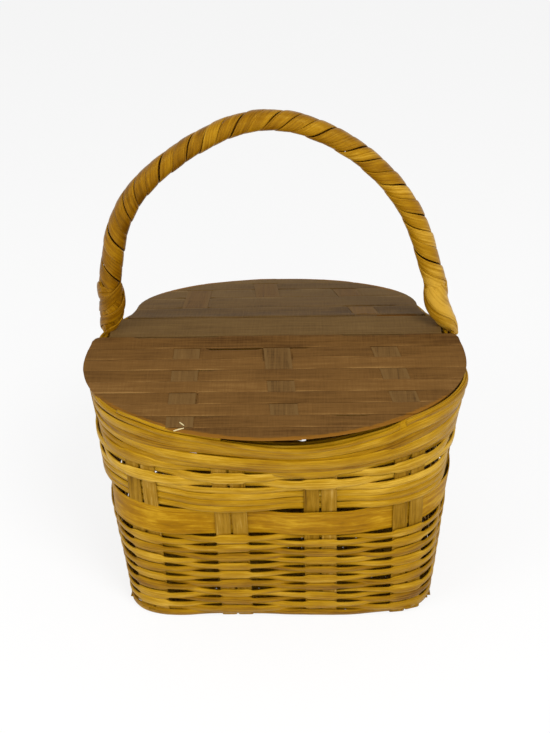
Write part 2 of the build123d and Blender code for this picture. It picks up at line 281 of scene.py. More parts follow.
def streaks(tree, stretch, scale, detail, rough=0.6):
    """Noise drawn out along the strip: stretch is how much finer it is across than along."""
    grain = tree.nodes.new("ShaderNodeUVMap")
    grain.uv_map = "grain"
    place = tree.nodes.new("ShaderNodeMapping")
    place.inputs["Scale"].default_value = (scale, scale * stretch, 1.0)
    noise = tree.nodes.new("ShaderNodeTexNoise")
    noise.inputs["Scale"].default_value = 1.0
    noise.inputs["Detail"].default_value = detail
    noise.inputs["Roughness"].default_value = rough
    tree.links.new(grain.outputs["UV"], place.inputs["Vector"])
    tree.links.new(place.outputs["Vector"], noise.inputs["Vector"])
    return noise.outputs["Fac"]


def value_of(tree, name):
    node = tree.nodes.new("ShaderNodeAttribute")
    node.attribute_name = name
    return node.outputs["Fac"]


def sum_of(tree, *terms):
    """Adds up (socket, weight) terms."""
    total = None
    for socket, weight in terms:
        node = tree.nodes.new("ShaderNodeMath")
        node.operation = "MULTIPLY_ADD"
        node.inputs[1].default_value = weight
        tree.links.new(socket, node.inputs[0])
        node.inputs[2].default_value = 0.0
        if total is not None:
            tree.links.new(total, node.inputs[2])
        total = node.outputs[0]
    return total


def ramp(tree, socket, stops):
    node = tree.nodes.new("ShaderNodeValToRGB")
    elements = node.color_ramp.elements
    while len(elements) < len(stops):
        elements.new(0.5)
    for element, (place, colour) in zip(elements, stops):
        element.position = place
        element.color = (*colour, 1.0)
    tree.links.new(socket, node.inputs["Fac"])
    return node.outputs["Color"]


def bump(tree, shader, socket, strength, distance):
    node = tree.nodes.new("ShaderNodeBump")
    node.inputs["Strength"].default_value = strength
    node.inputs["Distance"].default_value = distance
    tree.links.new(socket, node.inputs["Height"])
    tree.links.new(node.outputs["Normal"], shader.inputs["Normal"])


def shine(tree, shader, socket, low, high):
    node = tree.nodes.new("ShaderNodeMapRange")
    node.inputs["To Min"].default_value = low
    node.inputs["To Max"].default_value = high
    tree.links.new(socket, node.inputs["Value"])
    tree.links.new(node.outputs["Result"], shader.inputs["Roughness"])


# %% Cane, dry splint and veneer


def cane(name, colours, roughness, gloss, grain_depth, fineness=40.0):
    """Cane from four colours: the dark of its fibres, its body, its lit skin and its palest streaks."""
    finish, tree, shader = new_finish(name)
    fibre = streaks(tree, fineness, 26.0, 5.0, 0.7)
    blotch = streaks(tree, 4.0, 24.0, 3.0)
    tint = sum_of(tree, (fibre, 0.6), (blotch, 0.4), (value_of(tree, "tone"), 0.14))
    stops = list(zip(CANE_STOPS, (seen(*colour) for colour in colours)))
    tree.links.new(ramp(tree, tint, stops), shader.inputs["Base Color"])
    shine(tree, shader, fibre, roughness - 0.1, roughness + 0.14)
    shader.inputs["Specular IOR Level"].default_value = gloss
    shader.inputs["Specular Tint"].default_value = (1.0, 0.74, 0.14, 1.0)
    bump(tree, shader, fibre, 0.5, grain_depth)
    return finish


CANE_STOPS = (0.40, 0.50, 0.62, 0.74)
golden_cane = cane("golden_cane", [(96, 58, 1), (136, 95, 4), (162, 120, 12), (196, 156, 56)], 0.42, 0.3, 0.0006)
handle_cane = cane(
    "handle_cane", [(98, 60, 1), (126, 82, 3), (152, 107, 8), (192, 148, 50)], 0.34, 0.4, 0.0008, 34.0
)
wide_cane = cane("wide_cane", [(90, 52, 0), (124, 82, 1), (150, 105, 3), (186, 143, 28)], 0.5, 0.2, 0.0008, 26.0)
dry_splint = cane("dry_splint", [(84, 54, 6), (126, 90, 14), (148, 110, 30), (180, 144, 72)], 0.6, 0.14, 0.0008)
# The dark core is painted shade: a dark brown used for the handle's core and the hinge rods, which show in thin gaps
# and stand for the shade there.
painted_shade_core = cane("painted_shade_core", [(54, 28, 3), (76, 42, 6), (94, 54, 10), (110, 68, 18)], 0.65, 0.1, 0.0006)


def veneer(name, colours, edge_colour):
    """Stained veneer: a long grain, short pores, and another colour where the edge value is high: painted light on the
    flaps' curved front edge, a softer tone at the cross splints' sides.
    """
    finish, tree, shader = new_finish(name)
    grain = streaks(tree, 26.0, 16.0, 8.0, 0.68)
    pores = streaks(tree, 14.0, 90.0, 3.0)
    blotch = streaks(tree, 2.0, 14.0, 3.0)
    crossing = streaks(tree, 0.06, 700.0, 2.0)
    terms = ((grain, 0.45), (pores, 0.15), (blotch, 0.25), (crossing, 0.15), (value_of(tree, "tone"), 0.12))
    tint = sum_of(tree, *terms)
    stops = list(zip(VENEER_STOPS, (seen(*shade) for shade in colours)))
    colour = ramp(tree, tint, stops)
    mix = tree.nodes.new("ShaderNodeMix")
    mix.data_type = "RGBA"
    mix.inputs["B"].default_value = (*seen(*edge_colour), 1.0)
    # Painted light: the edge mask, made ragged by the pores, gives the flaps' front edge its lit orange colour.
    rough_edge = ramp(tree, sum_of(tree, (value_of(tree, "edge"), 0.6), (pores, 0.8)), [(0.62, BLACK), (0.82, WHITE)])
    tree.links.new(rough_edge, mix.inputs["Factor"])
    tree.links.new(colour, mix.inputs["A"])
    tree.links.new(mix.outputs["Result"], shader.inputs["Base Color"])
    shine(tree, shader, grain, 0.5, 0.72)
    shader.inputs["Specular IOR Level"].default_value = 0.05
    bump(tree, shader, tint, 0.45, 0.0006)
    return finish


BLACK = (0.0, 0.0, 0.0)
WHITE = (1.0, 1.0, 1.0)
VENEER_STOPS = (0.40, 0.52, 0.64, 0.80)
# The orange of the flaps' front edge is painted light.
LIT_EDGE_COLOUR = (130, 86, 26)
brown_veneer = veneer("brown_veneer", [(72, 46, 18), (97, 67, 31), (111, 78, 38), (138, 103, 56)], LIT_EDGE_COLOUR)
dull_veneer = veneer("dull_veneer", [(70, 50, 25), (95, 71, 38), (107, 82, 46), (134, 106, 66)], LIT_EDGE_COLOUR)
square_veneer = veneer("square_veneer", [(66, 46, 23), (97, 70, 36), (111, 82, 44), (138, 107, 64)], (106, 79, 43))
bare_fibre = cane("bare_fibre", [(168, 146, 92), (206, 188, 138), (226, 212, 170), (240, 230, 200)], 0.6, 0.1, 0.0002)
print("finishes:", len(bpy.data.materials))

# %% [markdown]
# ## Stakes
# Twelve pairs of flat splints stand in the wall. On the real basket they are six long pairs that
# cross under the floor and turn up on both sides, so that is how they are laid here: down one
# wall, under the floor and up the opposite wall.

# %% Stakes, in one line from rim to rim
STAKES = 12
STAKE_HALF_WIDTH = 6.2
STAKE_HALF_THICK = 0.85
STAKE_SPREAD = 7.0
STAKE_OFFSET = 0.9
STAKE_TOP = 0.985
STAKE_FOOT = 0.028
WALL_STEPS = 70
opposite = {0: 5, 1: 4, 11: 6, 10: 7, 2: 9, 3: 8}


def stake_wall(stake, spread):
    """Points down the wall, with the direction across the splint and the outward normal."""
    share = np.linspace(STAKE_TOP, STAKE_FOOT, WALL_STEPS)
    level = np.interp(share, np.linspace(0, 1, LEVEL_STEPS + 1), ROUND)
    run = (stake + 0.5) / STAKES + spread / level
    here, along, up, normal = wall_frame(share, run)
    return here + STAKE_OFFSET * normal, along, normal


def smooth_line(points, steps):
    """A line through a few points, rounded by repeated corner cutting."""
    for _ in range(steps):
        left = 0.75 * points[:-1] + 0.25 * points[1:]
        right = 0.25 * points[:-1] + 0.75 * points[1:]
        inner = np.stack([left, right], 1).reshape(-1, points.shape[1])
        points = np.concatenate([points[:1], inner, points[-1:]])
    return points


dice = np.random.default_rng(3)
stakes = new_bundle()
for stake, other in opposite.items():
    crosses_x = stake in (2, 3)
    under_z = 2.7 if crosses_x else 0.9
    for spread in (-STAKE_SPREAD, STAKE_SPREAD):
        here, along, normal = stake_wall(stake, spread)
        there, back_along, back_normal = stake_wall(other, -spread)
        foot = here[-1] - 4.0 * normal[-1]
        far_foot = there[-1] - 4.0 * back_normal[-1]
        corner = np.array([here[-1], [here[-1][0], here[-1][1], under_z], [foot[0], foot[1], under_z]])
        far_corner = np.array([[far_foot[0], far_foot[1], under_z], [there[-1][0], there[-1][1], under_z], there[-1]])
        floor = np.linspace(corner[-1], far_corner[0], 24)
        under = np.concatenate([smooth_line(corner, 3)[1:], floor[1:-1], smooth_line(far_corner, 3)[:-1]])
        line = np.concatenate([here, under, there[::-1]])
        blend = np.linspace(0, 1, len(under))[:, None]
        side = unit(np.concatenate([along, along[-1] * (1 - blend) - back_along[-1] * blend, -back_along[::-1]]))
        onward = unit(np.gradient(line, axis=0))
        facing = unit(np.cross(side, onward))
        lay_strip(stakes, line, side, facing, STAKE_HALF_WIDTH, STAKE_HALF_THICK, dice.random(), SPLINT, start=997 * dice.random())
make_piece("wall_stakes", stakes, dry_splint)

# %% [markdown]
# ## Rows of reeds
# Every row is one reed that goes out over one stake and in behind the next. Where it lies over a
# stake it is pressed flat and broad. Beside a stake that it passes behind it thins and sinks, and
# that opens the dark wedges of the real weave. The height of each row wanders a little.

# %% The weave
LOW_ROWS = 18
LOW_TOP = 0.455
SPLINT_TOP = 0.594
BAND_TOP = 0.718
HIGH_ROWS = 3
HIGH_TOP = 0.833
ROW_STEPS = 40 * STAKES
SWING = 1.95
TIGHTNESS = 1.7


def weave(run, over_odd):
    """1 where the row lies over a stake, -1 where it lies behind one."""
    swing = np.cos(np.pi * (STAKES * run - 0.5))
    swing = np.tanh(TIGHTNESS * swing) / math.tanh(TIGHTNESS)
    return -swing if over_odd else swing


def smooth(value, low, high):
    """0 below low, 1 above high, with an even change between."""
    t = np.clip((value - low) / (high - low), 0, 1)
    return t * t * (3 - 2 * t)


STAKE_EDGE = 0.18
WEDGE_END = 0.43


def lay_row(bundle, dice, share, over_odd, halves, half_thick, wander, wedge=0.0, paler=0.0, outline=REED, swing=SWING):
    """One closed row. It starts behind a stake, where its joint is hidden."""
    mid_half, over_half = halves
    first = 2 * dice.integers(STAKES // 2) + (0 if over_odd else 1)
    run = (first + 0.5) / STAKES + np.arange(ROW_STEPS) / ROW_STEPS
    wave = weave(run, over_odd)
    from_stake = np.abs((STAKES * run) % 1.0 - 0.5)
    pressed = (wave > 0) * (1 - smooth(from_stake, STAKE_EDGE - 0.04, STAKE_EDGE + 0.03))
    loose = np.clip(0.95 + drift(dice, run, 0.8, (3, 5, 7, 11, 17)), 0.0, 1.6)
    thinned = wedge * loose * (wave < 0) * np.clip((WEDGE_END - from_stake) / (WEDGE_END - STAKE_EDGE), 0, 1)
    height = share + drift(dice, run, wander, (1, 2, 4, 7, 11))
    here, along, up, normal = wall_frame(height, run)
    out = STAKE_OFFSET + swing * wave + drift(dice, run, 0.18)
    centre = here + normal * out[:, None] - up * (WEDGE_SINK * thinned)[:, None]
    onward = unit(np.roll(centre, -1, 0) - np.roll(centre, 1, 0))
    facing = unit(np.cross(onward, up))
    tilt = drift(dice, run, 0.10)[:, None]
    side = unit(up * np.cos(tilt) + facing * np.sin(tilt))
    facing = unit(np.cross(onward, side))
    half = mid_half + (over_half - mid_half) * pressed - thinned + drift(dice, run, 0.24, (3, 5, 9, 14))
    tone = dice.random() + paler
    lay_strip(bundle, centre, side, facing, half, half_thick, tone, outline, True, 997 * dice.random())


WEDGE_SINK = 0.75
LOW_HALVES = (2.65, 4.75)
BASE_HALVES = ((3.3, 3.5), (3.5, 5.0))
LOW_WEDGE = 1.3
BASE_SWING = 1.2
LOW_WANDER = 0.0042
BASE_WANDER = 0.0028
BASE_ROWS = len(BASE_HALVES)
dice = np.random.default_rng(7)
low_reeds = new_bundle()
for row in range(LOW_ROWS):
    share = LOW_TOP * (row + 0.5) / LOW_ROWS
    halves = LOW_HALVES if row >= BASE_ROWS else BASE_HALVES[row]
    wedge = LOW_WEDGE if row >= BASE_ROWS else 0.0
    swing = SWING if row >= BASE_ROWS else BASE_SWING
    wander = LOW_WANDER if row >= BASE_ROWS else BASE_WANDER
    lay_row(low_reeds, dice, share, row % 2 == 1, halves, 1.15, wander, wedge, -0.1, swing=swing)
make_piece("low_reeds", low_reeds, golden_cane, stands_for=("woven_body",))

# %% [markdown]
# ## The wide splint, the reed band and the upper rows
# Above the low rows the maker wove one broad flat splint, then four reeds together as one band,
# then three broader reeds. They use the same row helper with other sizes.

# %% Splint, band and upper rows
dice = np.random.default_rng(19)
wide_splint = new_bundle()
lay_row(wide_splint, dice, (LOW_TOP + SPLINT_TOP) / 2, False, (13.2, 13.4), 0.6, 0.0012, 0.5, 0.85, SPLINT, 1.7)
make_piece("wide_splint", wide_splint, wide_cane)

BAND_REEDS = 4
upper_reeds = new_bundle()
for reed in range(BAND_REEDS):
    share = SPLINT_TOP + (BAND_TOP - SPLINT_TOP) * (reed + 0.5) / BAND_REEDS
    lay_row(upper_reeds, dice, share, True, (3.2, 3.5), 1.15, 0.0026, 0.0, 0.35)
for row in range(HIGH_ROWS):
    share = BAND_TOP + (HIGH_TOP - BAND_TOP) * (row + 0.5) / HIGH_ROWS
    lay_row(upper_reeds, dice, share, row % 2 == 1, (4.05, 5.6), 1.2, 0.004, 1.6, 0.3)
make_piece("upper_reeds", upper_reeds, golden_cane)

# %% [markdown]
# ## The rim
# Broad reeds are laid round the outside of the stake tops, and a hoop inside them. They are not
# quite level: they slide over one another at flat angles and leave thin dark slivers. Each one is
# a closed row with a slow wander of its own. The last one is open, and its cut end shows.

# %% Rim reeds and inner hoop
RIM_REEDS = 5
RIM_OFFSET = 2.9
RIM_HALF = 4.6
RIM_SET_IN = ((0.80, 3.6), (0.72, 2.5), (0.66, 3.0), (0.34, 3.0))
RIM_LIFTS = ((0.118, 0.195, 5.0, 2.2), (0.28, 0.315, -5.0, -1.0), (0.685, 0.72, -5.0, -1.0), (0.83, 0.885, 3.6, 1.2))
dice = np.random.default_rng(23)
rim_reeds = new_bundle()


def lay_rim_reed(share, run, half, offset, wander, closed):
    height = share + drift(dice, run, wander, (1, 2, 3, 5))
    here, along, up, normal = wall_frame(height, run)
    set_in = sum(depth * np.exp(-((((run - place + 0.5) % 1.0 - 0.5) / 0.07) ** 2)) for place, depth in RIM_SET_IN)
    centre = here + normal * (offset - set_in + drift(dice, run, 0.35, (3, 5, 7)))[:, None]
    place = run % 1.0
    for start, end, rise, push in RIM_LIFTS:
        lifted = smooth(place, start - 0.02, start + 0.01) * (1 - smooth(place, end - 0.01, end + 0.025))
        lifted = lifted * smooth(share, 0.86, 0.95)
        centre = centre + (up * rise + normal * push) * lifted[:, None]
    tilt = drift(dice, run, 0.14)[:, None]
    side = unit(up * np.cos(tilt) + normal * np.sin(tilt))
    facing = unit(np.cross(along, side))
    width = half + drift(dice, run, 0.3)
    start = 997 * dice.random()
    lay_strip(rim_reeds, centre, side, facing, width, 1.2, dice.random(), REED, closed, start)


run = (2.5 / STAKES + np.arange(ROW_STEPS) / ROW_STEPS) % 1.0
for reed in range(RIM_REEDS):
    share = HIGH_TOP + (0.985 - HIGH_TOP) * (reed + 0.5) / RIM_REEDS
    lay_rim_reed(share, run, RIM_HALF, RIM_OFFSET + 0.9 * (reed % 2), 0.008, True)
lay_rim_reed(0.975, np.linspace(0.118, 1.112, ROW_STEPS), 2.6, RIM_OFFSET + 1.6, 0.006, False)
lay_rim_reed(0.998, np.linspace(0.86, 0.955, 60), 1.5, RIM_OFFSET + 1.2, 0.002, False)
make_piece("rim_reeds", rim_reeds, golden_cane, stands_for=("outer_rim",))

run = np.arange(ROW_STEPS) / ROW_STEPS
HOOP_SAG = 0.013
HOOP_SAG_REACH = 0.09
inner_hoop = new_bundle()
for share in (0.935, 0.973):
    from_front = (run + 0.5) % 1.0 - 0.5
    height = share - HOOP_SAG * np.exp(-((from_front / HOOP_SAG_REACH) ** 2))
    here, along, up, normal = wall_frame(height, run)
    centre = here - 3.6 * normal
    lay_strip(inner_hoop, centre, up, normal, 3.9, 1.7, dice.random(), REED, True, 997 * dice.random())
make_piece("inner_hoop", inner_hoop, golden_cane, stands_for=("inner_rim",))

# %% [markdown]
# ## The floor
# Inside, the floor is a plain mat of flat splints that lies on the stakes where they cross. Each
# splint stops at the foot of the wall.

# %% Floor mat
MAT_PITCH = 12.4
MAT_GAP = 0.5
MAT_HALF_THICK = 0.55
MAT_Z = 5.0
MAT_INSET = 0.0
MAT_TUCK = 1.6
dice = np.random.default_rng(29)
floor_mat = new_bundle()


def mat_reach(across, half_across, half_along):
    """How far a mat splint runs at a distance from the middle line."""
    inside = 1 - np.abs(across / (half_across - MAT_INSET)) ** BASE_SQUARENESS
    return (half_along + MAT_TUCK) * max(inside, 0.0) ** (1 / BASE_SQUARENESS)


for axis, half_across, half_along in ((0, BASE_HALF_DEPTH, BASE_HALF_WIDTH), (1, BASE_HALF_WIDTH, BASE_HALF_DEPTH)):
    count = int((half_across - MAT_INSET) / MAT_PITCH - 0.5)
    pitch = (half_across - MAT_INSET) / (count + 0.5)
    half_width = (pitch - MAT_GAP) / 2
    for number in range(-count, count + 1):
        across = number * pitch
        reach = mat_reach(min(abs(across) + 0.2 * half_width, 0.985 * half_across), half_across, half_along)
        along = np.linspace(-reach, reach, 90)
        level = MAT_Z + (1 - 2 * axis) * (-1) ** number * 0.62 * np.cos(np.pi * along / MAT_PITCH)
        spot = np.zeros((90, 3))
        spot[:, axis] = along
        spot[:, 1 - axis] = across
        spot[:, 2] = level
        side = np.zeros((90, 3))
        side[:, 1 - axis] = 1.0
        onward = unit(np.gradient(spot, axis=0))
        facing = unit(np.cross(side, onward))
        start = 997 * dice.random()
        lay_strip(floor_mat, spot, side, facing, half_width, MAT_HALF_THICK, dice.random(), section(8, 4.0), start=start)
make_piece("floor_mat_splints", floor_mat, dry_splint, stands_for=("floor_mat",))

# %% [markdown]
# ## The handle
# A bent cane makes the bow. Three strips of split cane are wound round it side by side at about
# half a right angle, so the bow looks like a loose rope. At the left foot the ends cross, and at
# the right foot they are twisted and drawn to a point.

# %% The bow's line
CROWN_Z = 407.3
LEFT_ARCS = ((87.4, 23.6), (220.6, 17.6), (110.4, 37.0))
RIGHT_ARCS = ((83.5, 21.9), (152.5, 51.6))
FOOT_END_Z = 227.5
TAIL = 14.0
FOOT_LEAN = {-1: 4.6, 1: 3.4}
LEAN_LENGTH = 50.0
BOW_STEPS = 1200


def half_bow(arcs):
    """Points from the crown down one side: arcs of radius and angle, then the straight foot."""
    points = [np.array([[0.0, CROWN_Z]])]
    heading = 0.0
    for radius, angle in arcs:
        turn = np.radians(np.linspace(heading, heading + angle, 150))
        step = np.stack([np.sin(turn) - np.sin(turn[0]), np.cos(turn) - np.cos(turn[0])], -1)
        points.append(points[-1][-1] + radius * step[1:])
        heading += angle
    down = np.array([math.cos(math.radians(heading)), -math.sin(math.radians(heading))])
    knee = points[-1][-1]
    length = (knee[1] - FOOT_END_Z) / -down[1] + TAIL
    points.append(knee + np.linspace(0, length, 80)[1:, None] * down)
    return np.concatenate(points)


left_half = half_bow(LEFT_ARCS) * [-1, 1]
bow = np.concatenate([left_half[:0:-1], half_bow(RIGHT_ARCS)])
bow_run = np.concatenate([[0.0], np.cumsum(np.linalg.norm(np.diff(bow, axis=0), axis=1))]) - TAIL
BOW_LENGTH = bow_run[-1] - TAIL
for side, from_foot in ((-1, bow_run), (1, BOW_LENGTH - bow_run)):
    lean = FOOT_LEAN[side] * np.sin(np.pi * np.clip((from_foot + 4.0) / LEAN_LENGTH, 0, 1)) ** 2
    bow[:, 0] -= side * lean
CROWN_RUN = float(np.interp(0.0, bow[:, 0], bow_run))
KERNEL = np.hanning(41) / np.hanning(41).sum()


def bow_frame(at):
    """Centre of the bow, its heading, and the direction out of the bow, at lengths along it."""
    even = np.linspace(-TAIL, BOW_LENGTH + TAIL, BOW_STEPS)
    x = np.interp(even, bow_run, bow[:, 0])
    z = np.interp(even, bow_run, bow[:, 1])
    heading = np.stack([np.gradient(x, even), np.zeros_like(x), np.gradient(z, even)], -1)
    padded = np.pad(heading, ((20, 20), (0, 0)), mode="edge")
    soft = np.stack([np.convolve(padded[:, k], KERNEL, "valid") for k in range(3)], -1)
    centre = np.stack([np.interp(at, even, x), np.zeros_like(at), np.interp(at, even, z)], -1)
    heading = unit(np.stack([np.interp(at, even, soft[:, k]) for k in range(3)], -1))
    out = np.stack([-heading[:, 2], np.zeros_like(at), heading[:, 0]], -1)
    return centre, heading, out


TOWARDS = np.array([0.0, -1.0, 0.0])
print(f"bow: {BOW_LENGTH:.0f} mm along, crown at {CROWN_RUN:.0f} mm")

# %% Core and wound strips
CORE_RADIUS = 4.6
CORE_FROM = 16.0
WIND_PITCH = 39.0
WOUND_STRIPS = 3
STRIP_HALF_THICK = 0.7
CROWN_STRIP_RADIUS = 7.4
LEG_STRIP_GROWTH = 1.1
WOUND_FROM = 30.0
FADE_X = (-140.0, -60.0, 60.0, 140.0)
FADE_TONE = (-0.45, 0.0, 0.1, 0.85)
WOUND_SECTION = section(14, 3.4)
TONGUE_X = (142.2, 141.2)
TONGUE_Z = (228.0, 160.0)


def wind(bundle, dice, at, angle, radius, half_width, aside=0.0, lean=0.0):
    """One strip wound on the bow: an angle and a radius at each length along it."""
    centre, heading, out = bow_frame(at)
    centre[:, 0] += aside
    radial = out * np.cos(angle)[:, None] + TOWARDS * np.sin(angle)[:, None]
    line = centre + radial * radius[:, None]
    onward = unit(np.gradient(line, axis=0))
    side = unit(np.cross(radial, onward))
    facing = unit(np.cross(onward, side))
    tipped = unit(side * math.cos(lean) + facing * math.sin(lean))
    facing = unit(np.cross(onward, tipped))
    lengthwise = np.sum(onward * heading, axis=1)
    half_width = np.broadcast_to(half_width, len(at))
    cup = half_width**2 * lengthwise**2 / (2 * np.maximum(radius, 3.0))
    start = 997 * dice.random()
    tone = dice.random() + np.interp(centre[:, 0], FADE_X, FADE_TONE)
    lay_strip(bundle, line, tipped, facing, half_width, STRIP_HALF_THICK, tone, WOUND_SECTION, False, start, cup)


dice = np.random.default_rng(31)
core = new_bundle()
at = np.linspace(CORE_FROM, BOW_LENGTH - CORE_FROM, 160)
centre, heading, out = bow_frame(at)
lay_strip(core, centre, out, np.broadcast_to(TOWARDS, out.shape), CORE_RADIUS, CORE_RADIUS, 0.5, ROD)
tongues = new_bundle()
for end in (-1, 1):
    tongue = np.stack([end * np.linspace(*TONGUE_X, 20), np.zeros(20), np.linspace(*TONGUE_Z, 20)], -1)
    across = np.broadcast_to([0.0, 1.0, 0.0], tongue.shape)
    facing = np.broadcast_to([float(end), 0.0, 0.0], tongue.shape)
    lay_strip(tongues, tongue, across, facing, 3.8, 1.3, 0.5, SPLINT)
# The core is dark as painted shade: it shows in the thin gaps between the wound strips as dark lines.
make_piece("handle_rod", core, painted_shade_core, stands_for=("handle_core",))
make_piece("handle_tongues", tongues, dry_splint)

wound = new_bundle()
at = np.linspace(WOUND_FROM, BOW_LENGTH - WOUND_FROM, 900)
leg = np.where(at < CROWN_RUN, (CROWN_RUN - at) / CROWN_RUN, (at - CROWN_RUN) / (BOW_LENGTH - CROWN_RUN))
radius = CROWN_STRIP_RADIUS + LEG_STRIP_GROWTH * smooth(leg, 0.1, 0.9)
pitch = WIND_PITCH + 8.0 * leg
around = 2 * np.pi * radius
spacing = pitch / WOUND_STRIPS * around / np.hypot(around, pitch)
turned = -2 * np.pi * np.concatenate([[0.0], np.cumsum(np.diff(at) / pitch[1:])])
for strip in range(WOUND_STRIPS):
    sway = 0.10 * np.sin(at / 31.0 + 2.1 * strip) + 0.05 * np.sin(at / 9.0 + strip)
    angle = turned + 2 * np.pi * strip / WOUND_STRIPS + sway
    ripple = 0.25 * np.sin(at / 17.0 + 1.7 * strip)
    wind(wound, dice, at, angle, radius + ripple, 0.48 * spacing, 0.0, 0.035)
make_piece("wound_cane", wound, handle_cane, stands_for=("handle_wrap",))

# %% [markdown]
# ## The handle's feet
# At the left foot a second set of strips is wound back over the first, so they cross, and a last
# turn goes round as a collar. At the right foot steep strips are twisted the same way and drawn
# out to a point over the rim. Both are the wound strip again, with a radius that falls to a point.

# %% Crossed and twisted lashings
LASHING_LENGTH = 50.0
TIP_BELOW = {-1: 6.0, 1: 9.0}
depth = np.linspace(0.0, 1.0, 160)
from_tip = depth * LASHING_LENGTH
FOOT_HEIGHTS = (0.0, 5.0, 14.0, 24.0, 33.0, 42.0, 50.0)
FOOT_RADII = (1.4, 3.6, 7.0, 8.9, 9.3, 9.2, 8.4)
SOFTEN = np.ones(15) / 15
foot_radius = np.interp(from_tip, FOOT_HEIGHTS, FOOT_RADII)
foot_radius = np.convolve(np.pad(foot_radius, 7, mode="edge"), SOFTEN, "valid")
FULL_RADIUS = max(FOOT_RADII)


def lash(bundle, dice, end, handed, pitch, first, lift, half_width, reach):
    """One strip of a lashing, from the point at the rim upward. Reach moves the point outward."""
    at = from_tip - TIP_BELOW[end] if end < 0 else BOW_LENGTH + TIP_BELOW[end] - from_tip
    angle = first + handed * 2 * np.pi * from_tip / pitch
    taper = np.interp(foot_radius / FULL_RADIUS, [0.15, 0.5, 1.0], [0.32, 0.72, 1.0])
    aside = end * reach * (FULL_RADIUS - foot_radius)
    wind(bundle, dice, at, angle, foot_radius + lift, half_width * taper, aside, 0.05)


dice = np.random.default_rng(37)
FACING = np.pi / 2
left_lashing = new_bundle()
for strip in range(4):
    lash(left_lashing, dice, -1, -1, 62.0, FACING + 0.5 * np.pi * strip, 0.0, 5.6, -0.6)
for strip in range(3):
    lash(left_lashing, dice, -1, 1, 52.0, FACING - 2.6 + 2.1 * strip, 1.2, 4.3, -0.6)
collar = np.linspace(0, 1, 160)
sunk = 1.8 * (1 - np.sin(np.pi * collar)) ** 4
wind(left_lashing, dice, 34.0 + 8.0 * collar, FACING - 3.4 + 9.6 * collar, 9.9 - sunk, 3.2)
make_piece("crossed_lashing", left_lashing, handle_cane, stands_for=("left_foot_lashing",))

right_lashing = new_bundle()
for strip in range(5):
    lash(right_lashing, dice, 1, 1, 88.0, FACING + 0.4 * np.pi * strip, 0.25 * (strip % 2), 5.6, 0.6)
make_piece("twisted_lashing", right_lashing, handle_cane, stands_for=("right_foot_lashing",))

# %% [markdown]
# ## The lid
# The lid is two woven flaps of stained veneer on either side of a fixed bar. Each flap has splints
# side by side from left to right and three splints across them. Where a cross splint comes to the
# top it shows as a greyer square, and the long splint dips under it.

# %% A panel of veneer
HINGE_Y = 17.0
HINGE_Z = 226.6
FALL = math.atan(ROOF_SLOPE)
FLAP_REACH = (129.5 - HINGE_Y) / math.cos(FALL)
EDGE_LINES = np.array([0.0, 0.03, 0.12, 0.35, 0.65, 0.88, 0.95, 1.0])
EDGE_DROP = np.array([0.16, 0.03, 0.0, 0.0, 0.0, 0.0, 0.03, 0.16])


def lay_panel(bundle, top, down, grain, tone, edge):
    """A thin panel from a grid of top points: down is the step to its underside."""
    rows, columns = top.shape[:2]
    flat = top.reshape(-1, 3)
    below = flat + down
    i, j = np.meshgrid(np.arange(rows - 1), np.arange(columns - 1), indexing="ij")
    corners = [(i, j), (i + 1, j), (i + 1, j + 1), (i, j + 1)]
    if np.dot(np.cross(flat[columns * (rows // 2)] - flat[0], flat[columns - 1] - flat[0]), down) > 0:
        corners.reverse()
    up_faces = np.stack([p * columns + q for p, q in corners], -1).reshape(-1, 4)
    down_faces = up_faces[:, ::-1]
    coordinate = grain.reshape(-1, 2)
    tones = np.broadcast_to(tone, (rows, columns)).reshape(-1)
    add_faces(bundle, flat, up_faces.tolist(), coordinate[up_faces].reshape(-1, 2), tones, edge.reshape(-1))
    add_faces(bundle, below, down_faces.tolist(), coordinate[down_faces].reshape(-1, 2) + 400, tones, edge.reshape(-1) * 0)
    border = np.concatenate([
        np.arange(columns),
        np.arange(1, rows) * columns + columns - 1,
        (rows - 1) * columns + np.arange(columns - 2, -1, -1),
        np.arange(rows - 2, 0, -1) * columns,
    ])
    size = len(border)
    walls = np.concatenate([flat[border], below[border]])
    k = np.arange(size)
    n = (k + 1) % size
    quads = np.stack([k, n, n + size, k + size], -1)
    middle = walls.mean(0)
    first = quads[size // 3]
    facing = np.cross(walls[first[1]] - walls[first[0]], walls[first[3]] - walls[first[0]])
    if np.dot(facing, walls[first[0]] - middle) < 0:
        quads = quads[:, ::-1]
    along = np.concatenate([coordinate[border], coordinate[border] + [0.0, 1.5]])
    edges = edge.reshape(-1)[border]
    wall_tones = np.tile(tones[border], 2)
    add_faces(bundle, walls, quads.tolist(), along[quads].reshape(-1, 2), wall_tones, np.tile(edges, 2))


def flap_point(side, x, out, rise):
    """Point of a flap: across, out from the hinge line along the flap, and above its middle plane."""
    y = side * (HINGE_Y + out * math.cos(FALL) + rise * math.sin(FALL))
    z = HINGE_Z - out * math.sin(FALL) + rise * math.cos(FALL)
    return np.stack(np.broadcast_arrays(x, y, z), -1)


print(f"flap reaches {FLAP_REACH:.1f} mm from its hinge line")

# %% Flap outlines and weave
CROSS_X = (-71.0, -1.0, 82.0)
CROSS_FAN = (0.0, -0.10, -0.235)
CROSS_HALF_WIDTH = 11.0
DIP = 0.3
VENEER_HALF = 0.6
SEAM = 0.16
CORNER = 5.0
LIP_OUT = -1.5
# Strength of the painted highlight on the far edge of each row.
SEAM_HIGHLIGHT = 1.4
SIDE_SLIT_DEPTH = 1.6
SIDE_SLITS = {-1: ((1, -1, 12.0, 27.0), (1, 1, 17.0, 26.0), (0, 1, 62.0, 75.0), (2, -1, 92.0, 102.0)), 1: ()}
LIP_RISE = 0.95
FRONT_SHOWN = ((1, 3, 5, 7), (1, 2, 4, 6), (1, 3, 5, 7))
REAR_SHOWN = ((1, 2), (2, 3), (0, 2))


